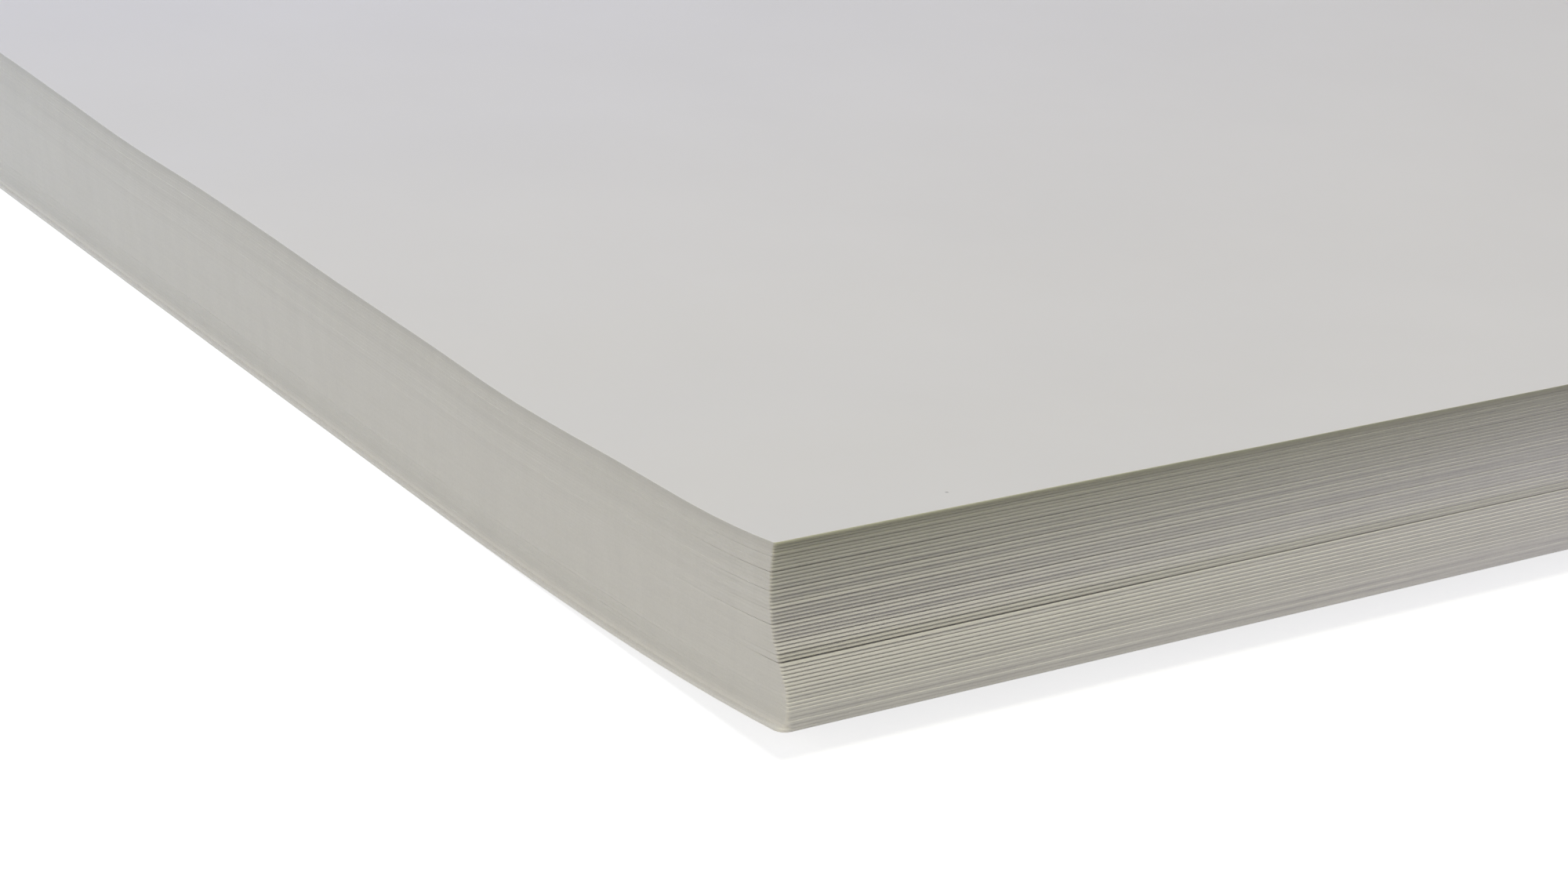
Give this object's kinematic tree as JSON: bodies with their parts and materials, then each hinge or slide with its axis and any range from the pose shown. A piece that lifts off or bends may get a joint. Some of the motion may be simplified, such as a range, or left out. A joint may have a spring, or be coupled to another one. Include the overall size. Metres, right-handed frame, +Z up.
{
  "type": "ream of watercolor paper",
  "caption": "Pile of loose heavy watercolor paper sheets, off-white, curled up along one long edge, the lower sheets slipped forward.",
  "frame": {"origin": "centre of the pile's footprint, on the surface that it lies on", "axes": "+X along the length of the sheets, -Y towards the curled front edge, +Z up through the pile"},
  "size_m": [0.4588, 0.3085, 0.0266],
  "materials": {
    "paper": "matt, natural white, very slightly toothed, with fibrous cut edges"
  },
  "bodies": {
    "root": {"sheet_01": "paper", "sheet_02": "paper", "sheet_03": "paper", "sheet_04": "paper", "sheet_05": "paper", "sheet_06": "paper", "sheet_07": "paper", "sheet_08": "paper", "sheet_09": "paper", "sheet_10": "paper", "sheet_11": "paper", "sheet_12": "paper", "sheet_13": "paper", "sheet_14": "paper", "sheet_15": "paper", "sheet_16": "paper", "sheet_17": "paper", "sheet_18": "paper", "sheet_19": "paper", "sheet_20": "paper", "sheet_21": "paper", "sheet_22": "paper", "sheet_23": "paper", "sheet_24": "paper", "sheet_25": "paper", "sheet_26": "paper", "sheet_27": "paper", "sheet_28": "paper", "sheet_29": "paper", "sheet_30": "paper", "sheet_31": "paper", "sheet_32": "paper", "sheet_33": "paper", "sheet_34": "paper", "sheet_35": "paper", "sheet_36": "paper", "sheet_37": "paper", "sheet_38": "paper", "sheet_39": "paper", "sheet_40": "paper", "sheet_41": "paper", "sheet_42": "paper", "sheet_43": "paper", "sheet_44": "paper", "sheet_45": "paper", "sheet_46": "paper", "sheet_47": "paper", "sheet_48": "paper", "sheet_49": "paper", "sheet_50": "paper"}
  },
  "joints": []
}
